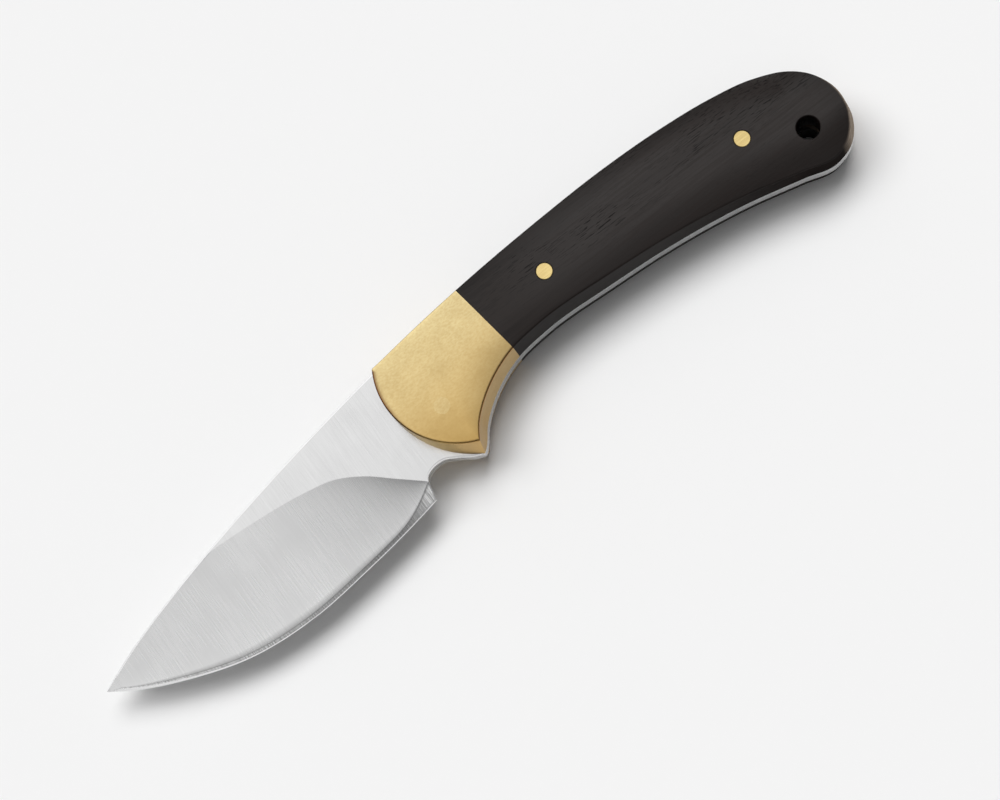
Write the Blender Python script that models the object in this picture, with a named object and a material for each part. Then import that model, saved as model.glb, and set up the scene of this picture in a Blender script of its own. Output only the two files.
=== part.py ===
"""Skinning knife with a fixed drop-point blade, brass bolsters, dark wood scales and flush brass pins.

The steel is one piece from the point to the butt. Bolsters and scales lie on both sides of its tang,
and four pins go through them. +X runs from the point to the butt, +Y from the cutting edge to the
spine, and +Z is up. The knife lies on its right-hand side, with the flat of its handle at Z = 0, and
the origin is under the middle of its outline.
"""
import math

import bmesh
import bpy
import numpy as np
from mathutils import Vector
from mathutils.geometry import interpolate_bezier

MM = 0.001

# Driving dimensions, in millimetres
STOCK = 3.05                # thickness of the blade and tang
HANDLE_THICKNESS = 15.6     # over both scales
FRONT_FALL = 0.45           # how far a face falls from its flat middle to its edges, at the guard
REAR_FALL = 3.1             # the same where the butt starts
FALL_POWER = 1.6            # how it grows between them; 1 would be evenly
FLAT_SHARE = 0.25           # part of the handle's width that is flat
SIDE_LEAN = 0.15            # how far the handle's sides lean in, per millimetre of height
FRONT_LEAN = 0.085          # the same for the bolsters' curved front
GUARD_DRAW = (0.8, 0.9)     # how far the face's corner is drawn back over the guard
GUARD_DRAW_REACH = 3.0
BOLSTER_FRONT_RADIUS = 20.65
EDGE_ANGLE = math.radians(22.0)   # of the sharpened bevel, to each side
EDGE_BEVEL = 0.9            # width of that bevel along most of the edge
EDGE_BEVEL_START = 4.0      # from the point, where the bevel has its full width
HEEL_FLARE_START = 62.0     # from the point, where the bevel starts to widen
HEEL_FLARE_POWER = 2.6
HOLLOW_POWER = 1.6          # how hollow the grind is; 1 would be flat
PIN_DIAMETER = 3.3
PIN_RECESS = 0.05           # how far a pin's ends lie below the faces
LANYARD_HOLE = 4.8          # diameter
FIT_GAP = 0.3               # between touching pieces
WELD = 0.001                # points closer than this become one
SHARP_ANGLE = math.radians(25.0)  # faces that meet at more than this keep a crisp edge

# Outline of the steel: distance from the point, then height toward the spine, in millimetres
POINT = (0.0, 0.0)
FRONT_TOP = (78.4, 18.45)   # where the bolsters start on the spine
GUARD_CORNER = (86.7, -7.75)
GUARD_REAR = (87.6, -7.1)
BUTT_START = 175.0          # from the point, where the handle starts to round off
HEEL = (73.7, -9.15)        # rear end of the cutting edge
HEEL_TOP = (74.7, -5.5)     # where the bevel is as thick as the stock
BELLY = [GUARD_REAR, (90.5, -3.65), (96.0, 0.45), (103.0, 3.3), (110.5, 4.25), (126.0, 3.75), (142.0, 2.5),
         (157.0, 0.15), (168.0, -2.5)]
BUTT = [(175.0, -4.15), (179.4, -2.8), (182.9, 1.3), (183.8, 6.3), (181.5, 12.5), (177.2, 16.75)]
HANDLE_SPINE = [(171.5, 19.3), (163.0, 21.1), (152.0, 22.25), (138.0, 22.75), (122.0, 22.35), (104.0, 21.3),
                (90.0, 19.95)]
BLADE_SPINE = [(56.0, 14.8), (36.0, 10.75), (20.0, 6.85), (8.0, 3.25)]
CHOIL = [HEEL_TOP, (75.5, -4.5), (77.0, -3.95), (79.4, -4.0), (82.0, -5.35), (85.2, -7.35), GUARD_CORNER]
CUTTING_EDGE = [POINT, (5.0, -3.3), (15.0, -8.05), (27.0, -11.9), (40.0, -13.15), (55.0, -12.0), HEEL]
GRIND_LINE = [(30.5, 9.6), (44.0, 8.85), (54.0, 7.55), (60.0, 6.1), (65.0, 3.2), (70.0, -1.25), HEEL_TOP]

# Places of the pins and of the lanyard hole, measured as the outline is
FRONT_BOLSTER_PIN = (85.7, 3.5)
REAR_BOLSTER_PIN = (94.3, 10.5)
FRONT_SCALE_PIN = (117.0, 12.5)
REAR_SCALE_PIN = (162.65, 9.8)
LANYARD_PLACE = (173.9, 3.7)
JOINT_TOP = (101.1, 20.4)   # line where a bolster meets a scale
JOINT_BOTTOM = (103.3, 4.2)

# How finely the curves are drawn
CURVE_STEPS = 4             # between two knots of an outline
ARC_STEPS = 16              # along the bolster's curved front
BLADE_COLUMNS = 36          # from the point to the heel
HOLLOW_ROWS = 4             # from the edge bevel to the grind line
FACE_RINGS = 3              # from a face's edge to its flat middle
ROUND_SIDES = 32            # of a pin or a hole

# Looks: colour, roughness and metallic value
STEEL = ((0.66, 0.66, 0.66, 1.0), 0.32, 1.0)
BRASS = ((0.72, 0.53, 0.24, 1.0), 0.30, 1.0)
DARK_WOOD = ((0.026, 0.022, 0.020, 1.0), 0.45, 0.0)


def curve_through(knots):
    """Smooth curve through the knots, a cubic between each two, with chord-length tangents."""
    points = [Vector(knot) for knot in knots]
    chords = [(b - a).length for a, b in zip(points, points[1:])]
    slopes = [(b - a) / chord for a, b, chord in zip(points, points[1:], chords)]
    tangents = []
    for i in range(1, len(slopes)):
        blend = chords[i - 1] + chords[i]
        tangents.append((slopes[i - 1] * chords[i] + slopes[i] * chords[i - 1]) / blend)
    tangents.insert(0, 2.0 * slopes[0] - tangents[0])
    tangents.append(2.0 * slopes[-1] - tangents[-1])
    curve = [points[0]]
    for i, chord in enumerate(chords):
        leave = points[i] + tangents[i] * chord / 3.0
        arrive = points[i + 1] - tangents[i + 1] * chord / 3.0
        curve += interpolate_bezier(points[i], leave, arrive, points[i + 1], CURVE_STEPS + 1)[1:]
    return [Vector((p[0], p[1])) for p in curve]


def arc_between(start, end, radius):
    """Arc from start to end that bulges to the right of the way between them."""
    start = Vector(start)
    end = Vector(end)
    chord = end - start
    left = Vector((-chord.y, chord.x)).normalized()
    centre = (start + end) / 2.0 + left * math.sqrt(radius ** 2 - (chord.length / 2.0) ** 2)
    first = math.atan2(start.y - centre.y, start.x - centre.x)
    sweep = 2.0 * math.asin(chord.length / (2.0 * radius))
    angles = [first + sweep * i / ARC_STEPS for i in range(ARC_STEPS + 1)]
    return [centre + radius * Vector((math.cos(a), math.sin(a))) for a in angles]


BACK_CURVE = curve_through(BELLY + BUTT + HANDLE_SPINE + [FRONT_TOP] + BLADE_SPINE + [POINT])
REARMOST = max(range(len(BACK_CURVE)), key=lambda i: BACK_CURVE[i].x)
BELLY_CURVE = [p for p in BACK_CURVE[:REARMOST] if p.x < BUTT_START]
SPINE_CURVE = [p for p in BACK_CURVE[:REARMOST:-1] if p.x < BUTT_START]
HANDLE_BACK = BACK_CURVE[:len(BELLY + BUTT + HANDLE_SPINE) * CURVE_STEPS]
CHOIL_CURVE = curve_through(CHOIL)
EDGE_CURVE = curve_through(CUTTING_EDGE)
GRIND_CURVE = curve_through(GRIND_LINE)
HALF_STOCK = STOCK / 2.0
HALF_HANDLE = HANDLE_THICKNESS / 2.0
MIDDLE_X = BACK_CURVE[REARMOST].x / 2.0
MIDDLE_Y = (max(p.y for p in BACK_CURVE) + min(p.y for p in EDGE_CURVE)) / 2.0


def height_at(curve, x):
    """Height of a curve that runs along the knife, at a distance from the point."""
    return float(np.interp(x, [p.x for p in curve], [p.y for p in curve]))


def place(x, y, z):
    """Place in the part's frame of a point given from the knife's point and the tang's middle plane."""
    return Vector((x - MIDDLE_X, y - MIDDLE_Y, z + HALF_HANDLE)) * MM


def material(name, looks):
    """Principled material, made once for each finish."""
    if name in bpy.data.materials:
        return bpy.data.materials[name]
    made = bpy.data.materials.new(name)
    made.use_nodes = True
    shader = made.node_tree.nodes["Principled BSDF"]
    colour, roughness, metallic = looks
    shader.inputs["Base Color"].default_value = colour
    shader.inputs["Roughness"].default_value = roughness
    shader.inputs["Metallic"].default_value = metallic
    made.diffuse_color = colour
    return made


def finish(name, bm, finish_name=None, looks=None):
    """Turn a bmesh into an object with outward faces and its own material."""
    bmesh.ops.remove_doubles(bm, verts=bm.verts, dist=WELD * MM)
    bmesh.ops.recalc_face_normals(bm, faces=bm.faces)
    mesh = bpy.data.meshes.new(name)
    bm.to_mesh(mesh)
    bm.free()
    mesh.shade_smooth()
    mesh.set_sharp_from_angle(angle=SHARP_ANGLE)
    made = bpy.data.objects.new(name, mesh)
    bpy.context.scene.collection.objects.link(made)
    if looks:
        mesh.materials.append(material(finish_name, looks))
    return made


def cut(target, cutter):
    """Cut one object out of another."""
    boolean = target.modifiers.new(cutter.name, "BOOLEAN")
    boolean.operation = "DIFFERENCE"
    boolean.solver = "EXACT"
    boolean.object = cutter


def add_ring(bm, corners):
    """Vertices of one ring or row of the shape, from points in the part's frame."""
    return [bm.verts.new(corner) for corner in corners]


def join_rows(bm, first, second, closed):
    """Quads between two rows of vertices."""
    count = len(first)
    for i in range(count if closed else count - 1):
        after = (i + 1) % count
        bm.faces.new((first[i], first[after], second[after], second[i]))


def round_bar(bm, at, diameter, low, high):
    """Add a round bar along Z through a place of the outline."""
    rings = []
    for z in (low, high):
        turns = [2.0 * math.pi * i / ROUND_SIDES for i in range(ROUND_SIDES)]
        radius = diameter / 2.0
        rings.append(add_ring(bm, [place(at[0] + radius * math.cos(t), at[1] + radius * math.sin(t), z)
                                   for t in turns]))
    join_rows(bm, rings[0], rings[1], closed=True)
    for ring in rings:
        bm.faces.new(ring)


def pin(name, at):
    """Brass pin through the whole handle."""
    bm = bmesh.new()
    reach = HALF_HANDLE - PIN_RECESS
    round_bar(bm, at, PIN_DIAMETER, -reach, reach)
    return finish(name, bm, "brass", BRASS)


def hole_cutter(name, holes):
    """Hidden bars that drill a set of holes, given as places and diameters."""
    bm = bmesh.new()
    for at, diameter in holes:
        round_bar(bm, at, diameter, -HANDLE_THICKNESS, HANDLE_THICKNESS)
    made = finish(name, bm)
    made.hide_render = True
    made.display_type = "WIRE"
    return made


def bevel_width(x):
    """Width of the sharpened bevel: none at the point, even along the edge, wide at the heel."""
    flare = max(0.0, (x - HEEL_FLARE_START) / (HEEL[0] - HEEL_FLARE_START))
    full = HALF_STOCK / math.tan(EDGE_ANGLE)
    return EDGE_BEVEL * min(1.0, x / EDGE_BEVEL_START) + (full - EDGE_BEVEL) * flare ** HEEL_FLARE_POWER


def grind_column(share):
    """Points of one blade section, from the top of the grind down to the cutting edge.

    The half thickness grows with the distance d above the bevel as shoulder + rest * (d / D) ^ power,
    where D is the full height of the grind.
    """
    edge_x = share * HEEL[0]
    top_x = share * HEEL_TOP[0]
    edge_y = height_at(EDGE_CURVE, edge_x)
    width = bevel_width(edge_x)
    shoulder = width * math.tan(EDGE_ANGLE)
    top_y = height_at(SPINE_CURVE, top_x)
    full_height = GRIND_LINE[0][1] - height_at(EDGE_CURVE, GRIND_LINE[0][0]) - EDGE_BEVEL
    if top_x > GRIND_LINE[0][0]:
        top_y = height_at(GRIND_CURVE, top_x)
        full_height = top_y - edge_y - width
    column = []
    for row in range(HOLLOW_ROWS, -1, -1):
        level = row / HOLLOW_ROWS
        rise = level * (top_y - edge_y - width)
        x = edge_x + (top_x - edge_x) * (width + rise) / max(top_y - edge_y, width)
        thick = HALF_STOCK
        if full_height > 0.0:
            thick = shoulder + (HALF_STOCK - shoulder) * (rise / full_height) ** HOLLOW_POWER
        column.append((x, edge_y + width + rise, thick))
    column.append((edge_x, edge_y, 0.0))
    return column


def blade_and_tang():
    """Steel from the point to the butt: ground blade, choil and a full tang with its holes."""
    bm = bmesh.new()
    columns = [grind_column(i / BLADE_COLUMNS) for i in range(1, BLADE_COLUMNS)]
    point = bm.verts.new(place(*POINT, 0.0))
    heel = bm.verts.new(place(*HEEL, 0.0))
    edge = [bm.verts.new(place(*column[-1])) for column in columns]
    merge = next(i for i, column in enumerate(columns) if column[0][0] > GRIND_LINE[0][0])
    back = [p for i, p in enumerate(BACK_CURVE) if i < REARMOST or p.x > columns[merge][0][0]]
    rest = CHOIL_CURVE[1:] + back
    tops = {}
    walls = {}
    for side in (1.0, -1.0):
        rows = [add_ring(bm, [place(c[row][0], c[row][1], side * c[row][2]) for c in columns])
                for row in range(HOLLOW_ROWS + 1)]
        heel_top = bm.verts.new(place(*HEEL_TOP, side * HALF_STOCK))
        outline = add_ring(bm, [place(p.x, p.y, side * HALF_STOCK) for p in rest])
        for upper, lower in zip(rows, rows[1:] + [edge]):
            join_rows(bm, upper, lower, closed=False)
            bm.faces.new((point, upper[0], lower[0]))
        for upper, lower in zip(rows, rows[1:]):
            bm.faces.new((heel_top, upper[-1], lower[-1]))
        bm.faces.new((heel_top, rows[-1][-1], edge[-1], heel))
        bm.faces.new(rows[0][merge:] + [heel_top] + outline)
        tops[side] = rows[0]
        walls[side] = [heel_top] + outline + [rows[0][merge]]
    join_rows(bm, walls[1.0], walls[-1.0], closed=False)
    join_rows(bm, tops[1.0][:merge + 1], tops[-1.0][:merge + 1], closed=False)
    bm.faces.new((point, tops[1.0][0], tops[-1.0][0]))
    bm.faces.new((heel, walls[1.0][0], walls[-1.0][0]))
    return finish("blade_and_tang", bm, "steel", STEEL)


def face_height(x, y):
    """Height of a handle face over the tang's middle plane: flat along its middle, lower at its edges."""
    top = height_at(SPINE_CURVE, x)
    bottom = height_at(BELLY_CURVE, x)
    across = abs(2.0 * y - top - bottom) / (top - bottom)
    fall = max(0.0, (across - FLAT_SHARE) / (1.0 - FLAT_SHARE))
    rearward = float(np.clip((x - GUARD_CORNER[0]) / (BUTT_START - GUARD_CORNER[0]), 0.0, 1.0))
    edge_fall = FRONT_FALL + (REAR_FALL - FRONT_FALL) * rearward ** FALL_POWER
    return HALF_HANDLE - edge_fall * fall ** 2


def handle_outline():
    """Outline of a bolster and scale together, counter-clockwise from the guard."""
    front = arc_between(FRONT_TOP, GUARD_CORNER, BOLSTER_FRONT_RADIUS)
    return HANDLE_BACK + front


def leaning_in(outline):
    """Direction and lean of the handle's side at each point: the mitre of the two sides that meet there."""
    leans = []
    for i, here in enumerate(outline):
        before = (here - outline[i - 1]).normalized()
        after = (outline[(i + 1) % len(outline)] - here).normalized()
        left_before = Vector((-before.y, before.x))
        left_after = Vector((-after.y, after.x))
        mitre = (left_before + left_after) / (1.0 + left_before.dot(left_after))
        leans.append(mitre * (SIDE_LEAN if i <= len(HANDLE_BACK) else FRONT_LEAN))
    return leans


def face_edge(outline):
    """Outline of a handle face: the sides lean in, and the corner over the guard is drawn back."""
    edge = []
    for here, lean in zip(outline, leaning_in(outline)):
        away = (here - Vector(GUARD_CORNER)).length / GUARD_DRAW_REACH
        draw = Vector(GUARD_DRAW) * math.exp(-away ** 2)
        edge.append(here + lean * (face_height(here.x, here.y) - HALF_STOCK) + draw)
    return edge


def handle_half(side):
    """Bolster and scale of one side as one block: leaning sides under a crowned face."""
    bm = bmesh.new()
    outline = handle_outline()
    low = HALF_STOCK + FIT_GAP
    edge = face_edge(outline)
    rings = [add_ring(bm, [place(p.x, p.y, side * low) for p in outline])]
    for ring in range(FACE_RINGS + 1):
        inward = (1.0 - FLAT_SHARE) * ring / FACE_RINGS
        corners = []
        for here in edge:
            x = min(max(here.x, GUARD_CORNER[0]), BUTT_START)
            middle = (height_at(SPINE_CURVE, x) + height_at(BELLY_CURVE, x)) / 2.0
            p = here.lerp(Vector((x, middle)), inward)
            corners.append(place(p.x, p.y, side * face_height(p.x, p.y)))
        rings.append(add_ring(bm, corners))
    for lower, upper in zip(rings, rings[1:]):
        join_rows(bm, lower, upper, closed=True)
    bm.faces.new(rings[0])
    bm.faces.new(rings[-1])
    return bm


def split_at_joint(bm, keep_front):
    """Keep the bolster or the scale of a handle half, cut square at the line where they meet."""
    start = place(*JOINT_BOTTOM, 0.0)
    along = place(*JOINT_TOP, 0.0) - start
    rearward = Vector((along.y, -along.x, 0.0)).normalized()
    shift = FIT_GAP / 2.0 * MM
    cut_at = start - rearward * shift if keep_front else start + rearward * shift
    made = bmesh.ops.bisect_plane(bm, geom=bm.verts[:] + bm.edges[:] + bm.faces[:], plane_co=cut_at,
                                  plane_no=rearward, clear_outer=keep_front, clear_inner=not keep_front)
    rim = [item for item in made["geom_cut"] if isinstance(item, bmesh.types.BMEdge)]
    bmesh.ops.edgeloop_fill(bm, edges=rim)
    return bm


def handle_side(name, side, pin_holes, lanyard):
    """Bolster and scale of one side, with their holes."""
    bolster = finish(name + "_bolster", split_at_joint(handle_half(side), True), "brass", BRASS)
    scale = finish(name + "_scale", split_at_joint(handle_half(side), False), "dark_wood", DARK_WOOD)
    for piece in (bolster, scale):
        cut(piece, pin_holes)
    cut(scale, lanyard)


def main():
    """Build the knife."""
    for old in list(bpy.data.objects):
        bpy.data.objects.remove(old, do_unlink=True)
    pins = {"front_bolster_pin": FRONT_BOLSTER_PIN, "rear_bolster_pin": REAR_BOLSTER_PIN,
            "front_scale_pin": FRONT_SCALE_PIN, "rear_scale_pin": REAR_SCALE_PIN}
    bore = PIN_DIAMETER + 2.0 * FIT_GAP
    pin_holes = hole_cutter("pin_holes", [(at, bore) for at in pins.values()])
    lanyard = hole_cutter("lanyard_bore", [(LANYARD_PLACE, LANYARD_HOLE)])
    steel = blade_and_tang()
    cut(steel, pin_holes)
    cut(steel, lanyard)
    handle_side("left", 1.0, pin_holes, lanyard)
    handle_side("right", -1.0, pin_holes, lanyard)
    for name, at in pins.items():
        pin(name, at)


main()
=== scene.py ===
"""Looks of a full-tang skinning knife: satin steel, brass bolsters, dark wood scales and flush pins.

Outlines are in millimetres: x from the blade's point toward the butt, y from the point's level toward
the spine, and z from the middle plane of the tang. make_piece() moves them into the frame, in metres.
"""

import math

import bmesh
import bpy
import numpy as np
from bpy.props import FloatProperty, FloatVectorProperty, PointerProperty
from mathutils import Matrix, Vector


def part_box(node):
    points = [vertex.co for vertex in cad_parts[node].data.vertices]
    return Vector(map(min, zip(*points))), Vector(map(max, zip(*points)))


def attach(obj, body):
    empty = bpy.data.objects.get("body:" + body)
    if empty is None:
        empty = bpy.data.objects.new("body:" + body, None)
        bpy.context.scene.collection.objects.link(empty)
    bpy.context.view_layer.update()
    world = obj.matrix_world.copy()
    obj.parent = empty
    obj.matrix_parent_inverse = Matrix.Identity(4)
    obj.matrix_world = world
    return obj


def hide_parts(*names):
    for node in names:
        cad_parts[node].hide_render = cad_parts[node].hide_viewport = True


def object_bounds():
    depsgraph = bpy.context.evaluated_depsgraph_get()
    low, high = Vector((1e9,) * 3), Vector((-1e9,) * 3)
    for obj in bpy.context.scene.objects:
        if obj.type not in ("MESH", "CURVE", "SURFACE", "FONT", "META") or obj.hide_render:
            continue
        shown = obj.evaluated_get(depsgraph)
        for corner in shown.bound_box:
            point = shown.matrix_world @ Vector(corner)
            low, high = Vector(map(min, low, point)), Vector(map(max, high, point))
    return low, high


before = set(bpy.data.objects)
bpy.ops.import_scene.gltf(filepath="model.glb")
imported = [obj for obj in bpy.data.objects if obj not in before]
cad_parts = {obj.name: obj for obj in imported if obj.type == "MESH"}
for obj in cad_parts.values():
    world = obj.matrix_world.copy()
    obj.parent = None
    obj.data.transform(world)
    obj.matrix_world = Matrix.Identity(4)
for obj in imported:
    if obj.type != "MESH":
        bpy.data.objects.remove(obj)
CAD_BOX = [list(corner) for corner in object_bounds()]

bl_info = {
    "name": "Skinning Knife",
    "version": (1, 0, 0),
    "blender": (4, 5, 0),
    "location": "3D View > Sidebar > Knife",
    "description": "Builds a full-tang skinning knife and its studio over the measured frame",
    "category": "Add Mesh",
}

MM = 0.001

# Outline of the steel, from its heel round the butt to its point
POINT = (0.0, 0.0)
FRONT_TOP = (78.4, 18.45)
GUARD_CORNER = (86.7, -7.75)
GUARD_REAR = (87.6, -7.1)
BUTT_START = 175.0
HEEL = (73.7, -9.15)
HEEL_TOP = (74.7, -5.5)
CHOIL = [HEEL_TOP, (75.5, -4.5), (77.0, -3.95), (79.4, -4.0), (82.0, -5.35), (85.2, -7.35), GUARD_CORNER]
BELLY = [GUARD_REAR, (90.5, -3.65), (96.0, 0.45), (103.0, 3.3), (110.5, 4.25), (126.0, 3.75), (142.0, 2.5),
         (157.0, 0.15), (168.0, -2.5)]
BUTT = [(175.0, -4.15), (179.4, -2.8), (182.9, 1.3), (183.8, 6.3), (181.5, 12.5), (177.2, 16.75)]
HANDLE_SPINE = [(171.5, 19.3), (163.0, 21.1), (152.0, 22.25), (138.0, 22.75), (122.0, 22.35), (104.0, 21.3),
                (90.0, 19.95)]
BLADE_SPINE = [(56.0, 14.8), (36.0, 10.75), (20.0, 6.85), (8.0, 3.25)]
CUTTING_EDGE = [POINT, (5.0, -3.3), (15.0, -8.05), (27.0, -11.9), (40.0, -13.15), (55.0, -12.0), HEEL]
GRIND_LINE = [(30.5, 9.6), (44.0, 8.85), (54.0, 7.55), (60.0, 6.1), (65.0, 3.2), (70.0, -1.25), HEEL_TOP]

# Grind of the blade and eased corners of the steel
EDGE_SLOPE = math.tan(math.radians(22.0))
EDGE_BEVEL = 0.9
EDGE_BEVEL_START = 3.0
HEEL_FLARE_START = 62.0
HEEL_FLARE_POWER = 2.6
HOLLOW_POWER = 1.3
PLUNGE_START = 50.0  # from the point, where the grind starts to curl up toward the grind line
PLUNGE_REACH = 12.0
PLUNGE_MOST = 0.25
PLUNGE_POWER = 3.0
APEX_WIDTH = 0.17  # nearly flat land along the very edge
APEX_SLOPE = math.tan(math.radians(4.0))
APEX_TIP_WIDTH = 0.50  # how much wider it is at the point
APEX_TIP_REACH = 20.0
LAND_MOST = 0.8  # share of the bevel's width
COARSE_REACH = 59.0  # from the point, where the bevel's coarse sharpening marks fade out
COARSE_MOST = 0.95
COARSE_HEEL = 0.75
COARSE_HEEL_POWER = 3
RIM_COARSE = 0.5  # on the lower corner of the choil and the tang
SHOULDER_LINE = 0.2  # half width of the painted dark line, a painted shade, along the top of the bevel
SHOULDER_START = 9.0  # from the point, where that line is in full
CHOIL_LINE = 0.8  # strength of the like painted shade line along the choil
GRIND_BLEND = 0.35  # widths over which the finishes blend
BEVEL_BLEND = 0.06
CORNER_DEPTH = 0.12  # of the eased corners, per millimetre of their width
BLADE_CORNER_MOST = 0.1  # width of an eased corner, as a share of the blade's or the tang's height
TANG_CORNER_MOST = 0.3

# Form of the handle
FRONT_FALL = 0.45
REAR_FALL = 3.1
FALL_POWER = 1.6
FLAT_SHARE = 0.25
SIDE_LEAN = 0.15
SPINE_CRISP = 0.65  # how much less the face's edge is rounded toward the spine
SPINE_BLEND = 6.0
FRONT_RADIUS = 20.65
FACE_FRONT_RADIUS = 16.7
FACE_TOP_CORNER = (79.07, 17.75)
FACE_GUARD_CORNER = (87.55, -6.3)
CORNER_REACH = 3.2  # along the outline, where the face's edge runs straight to a corner
JOINT_TOP = (101.1, 20.4)
JOINT_BOTTOM = (103.3, 4.2)

# Wear of the handle, and painted shade, sheen and highlight on it
EDGE_REACH = 0.5  # of the worn line along a face's edge
WORN_START = 177.0  # where the wood starts to be worn, toward the butt
WORN_REACH = 3.0
WORN_TOP = 12.0  # height under which it is worn
WORN_DROP = 6.0
MIDDLE_SHEEN = 0.8  # how much lighter the wood is painted along the middle of a face, a painted sheen
DARK_FRONT_LOW = 1.0  # height where the dark front of the bolsters, a painted shade, ends toward the guard
DARK_FRONT_RISE = 8.0
DARK_FRONT_WIDER = 1.0  # how much wider the painted shade line is there
SIDE_WALL_SHADE = 0.55  # painted shade on the bolsters' side walls
GUARD_SHADE = 0.42  # painted shade on their front, at the guard
GUARD_START = -2.4  # height where that starts
GUARD_DROP = 4.0
EDGE_SHADE_WIDTH = 0.29  # width of the painted dark line, a painted shade, along the bolsters' face edge
EDGE_SHADE_SHARE = 0.97
FRONT_EDGE_SHADE = 0.65  # strength of that painted shade line along their low front
FRONT_HIGHLIGHT = 1.4  # how much lighter the front of the bolsters is painted there than handled brass, a painted highlight

# Places of the pins and of the lanyard hole
BOLSTER_PINS = {"front_bolster_pin": (85.7, 3.5), "rear_bolster_pin": (94.3, 10.5)}
SCALE_PINS = {"front_scale_pin": (117.0, 12.5), "rear_scale_pin": (162.65, 9.8)}
PIN_RADIUS = 1.65
PIN_SINK = 0.002  # of the pins' ends, below the faces
PIN_PALE = {"front_bolster_pin": 0.33}  # how much paler a pin is than the bolster round it
OVERCUT = 1.0  # of the cutters, past the faces
LANYARD_PLACE = (173.9, 3.7)
LANYARD_RADIUS = 2.35
TANG_SET_BACK = 0.9  # of the steel round the lanyard hole, behind the wood

# How finely the surfaces are drawn
CURVE_STEPS = 24  # between two knots of an outline
BLADE_COLUMNS = 261
TANG_COLUMNS = 90  # in front of the guard, and again behind it
TAIL_COLUMNS = 70  # crowded toward the end of the butt
SPLIT_DROP = 0.6  # share of the tang's height that the hollow's rows take up behind the heel
SPLIT_REACH = 10.0
SPLIT_LEAST = 0.004
WALL_ROWS = 3
CORNER_ROWS = 6
FLAT_ROWS = 12
HOLLOW_ROWS = 26
LAND_ROWS = 4
BEVEL_ROWS = WALL_ROWS + CORNER_ROWS - LAND_ROWS
HANDLE_COLUMNS = 150
BUTT_COLUMNS = 60
FRONT_COLUMNS = 24  # along the spine in front of the guard
ARC_COLUMNS = 56
GUARD_COLUMNS = 6
ROUND_ROWS = 9
CROWN_ROWS = 16
CROWN_CROWDING = 1.4  # power that crowds the face's rows toward its edge
ROUND_SIDES = 64
QUARTER = math.pi / 2.0
WALL_SHARES = np.linspace(0.0, 1.0, WALL_ROWS, endpoint=False)
CORNER_TURN = np.linspace(0.0, QUARTER, CORNER_ROWS + 1)
WELD = 1e-7  # metres
SHARP_ANGLE = math.radians(17.0)

# Noise of the finishes: how far it is drawn out, per metre along X, Y and Z, and its detail
STEEL_FINE = ((9000.0, 160.0, 160.0), 3.0)
STEEL_BROAD = ((700.0, 50.0, 50.0), 2.0)
STEEL_SCRATCH = ((4200.0, 120.0, 120.0), 2.0)
STEEL_MOTTLE = ((120.0, 120.0, 120.0), 4.0)
BRASS_GRAIN = ((1900.0, 3400.0, 1900.0), 3.0)
BRASS_CLOUD = ((170.0, 170.0, 170.0), 4.0)
PIN_SANDING = ((300.0, 9000.0, 300.0), 3.0)
WOOD_GRAIN = ((60.0, 1700.0, 1700.0), 5.0)
WOOD_FIGURE = ((14.0, 190.0, 190.0), 3.0)
WOOD_PORES = ((420.0, 5600.0, 5600.0), 1.0)
WOOD_PATCHES = ((45.0, 110.0, 110.0), 2.0)
FLOOR_SPECKLE = ((400.0, 400.0, 400.0), 2.0)
STEEL_WEAR = 300.0  # patches of edge wear, per metre; on the steel they also break up the painted highlight along its edges
BRASS_WEAR = 900.0
WOOD_WEAR = 700.0
WEAR_DETAIL = 4.0

# Ranges of noise and places between which a finish or a painted shade goes from one value to another
UNIT = (0.0, 1.0)
WIDE = (0.3, 0.7)  # where nearly all of a noise lies
MIDDLE = (0.35, 0.65)
WIDE_SUM = (0.7, 1.3)  # where nearly all of the sum of two lies
SCRATCHED = (0.36, 0.62)
CLOUDED = (0.15, 1.15)
PATCHED = (0.35, 0.55)
PORED = (0.58, 0.65)
GRAINED = (0.42, 0.66)
STREAKED = (0.75, 1.35)
WEAR_PATCHES = (0.3, 0.6)
WEAR_LEAST = 0.7
# The next span is where the grind is painted darker toward the heel, a painted shade.
HEEL_SHADE_SPAN = (-46.0 * MM, -28.0 * MM)  # along the frame's X
NEAR_BRASS = (14.0 * MM, 36.0 * MM)
DRY_SIDE = (46.0 * MM, 78.0 * MM)
# The next span is where the brass is painted darker and warmer toward the belly, a painted shade.
LOW_BRASS_SHADE = (14.0 * MM, -11.0 * MM)  # along the frame's Y
HIGH_WOOD = (4.0 * MM, 9.0 * MM)

# Strengths of the finishes and of the painted shade and highlights; a pair of tints is for the light and the
# dark lines of the steel
FINE_SHARE = 0.7  # of the fine brushing, beside the broad one
FLAT_TINTS = (1.02, 0.96)
# The grind's tints are painted a little lighter than the flat's, a painted highlight on the hollow.
GRIND_TINTS = (1.07, 1.025)
HEEL_SHADE_TINTS = (0.93, 0.88)  # of the grind toward the heel, painted darker there, a painted shade
CROSS_TINTS = (1.28, 0.95)  # of the scratches across the bevel
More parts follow.
